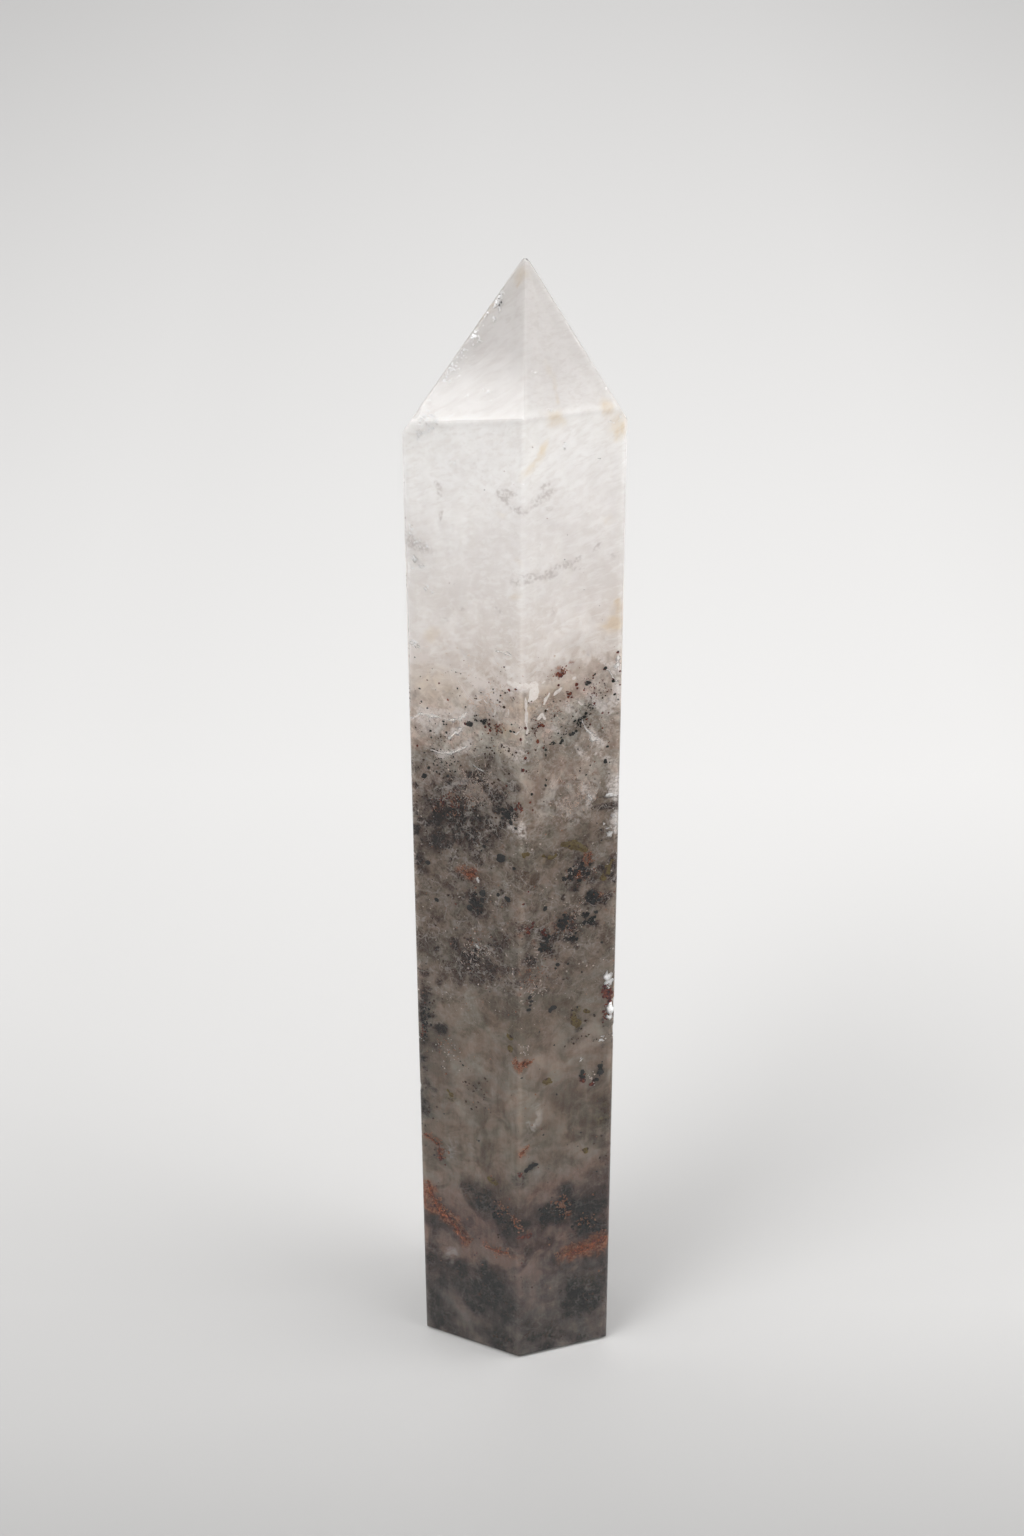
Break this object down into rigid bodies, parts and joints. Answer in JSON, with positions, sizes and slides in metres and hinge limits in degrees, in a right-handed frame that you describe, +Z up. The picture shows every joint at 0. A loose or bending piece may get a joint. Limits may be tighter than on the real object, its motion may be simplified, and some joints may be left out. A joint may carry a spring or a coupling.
{
  "type": "garden quartz tower",
  "caption": "Free-standing hexagonal pointed tower of polished garden quartz, milky above and smoky below, with moss, iron and phantom inclusions.",
  "frame": {"origin": "on the sawn foot, under the middle of the stone", "axes": "+Z up along the length to the tip, -Y out of the front edge, +X to the right of it"},
  "size_m": [0.0266, 0.026, 0.1499],
  "materials": {
    "quartz": "polished, see-through, with milky haze and mineral inclusions inside"
  },
  "bodies": {
    "root": {"quartz_tower": "quartz"}
  },
  "joints": []
}
